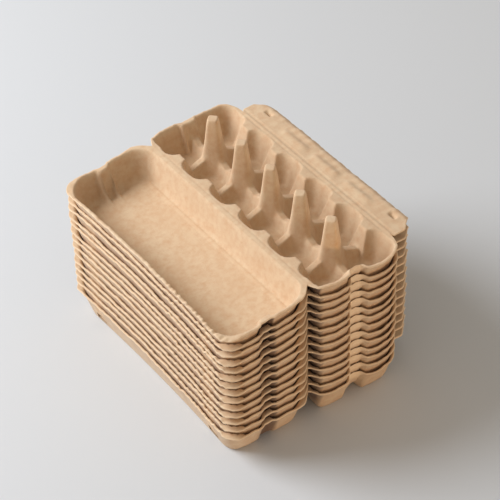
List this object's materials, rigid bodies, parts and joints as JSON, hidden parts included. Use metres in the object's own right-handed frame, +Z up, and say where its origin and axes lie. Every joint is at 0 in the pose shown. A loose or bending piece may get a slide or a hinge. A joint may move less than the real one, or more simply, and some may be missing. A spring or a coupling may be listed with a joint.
{
  "type": "stack of moulded pulp egg cartons",
  "caption": "Stack of open moulded pulp egg cartons nested in each other, each with a lid tray, a cell tray with cornerwise posts and a closing flap.",
  "frame": {"origin": "bottom centre of the bounding box, on the plane that the lowest carton's floors rest on", "axes": "+X from the lid trays over the cell trays to the closing flaps, +Y along the six cells of a row away from the picture's near end, +Z up through the stack"},
  "size_m": [0.236, 0.288, 0.1994],
  "materials": {
    "pulp": "matte"
  },
  "bodies": {
    "root": {"carton_01": "pulp", "carton_02": "pulp", "carton_03": "pulp", "carton_04": "pulp", "carton_05": "pulp", "carton_06": "pulp", "carton_07": "pulp", "carton_08": "pulp", "carton_09": "pulp", "carton_10": "pulp", "carton_11": "pulp", "carton_12": "pulp", "carton_13": "pulp", "carton_14": "pulp"}
  },
  "joints": []
}
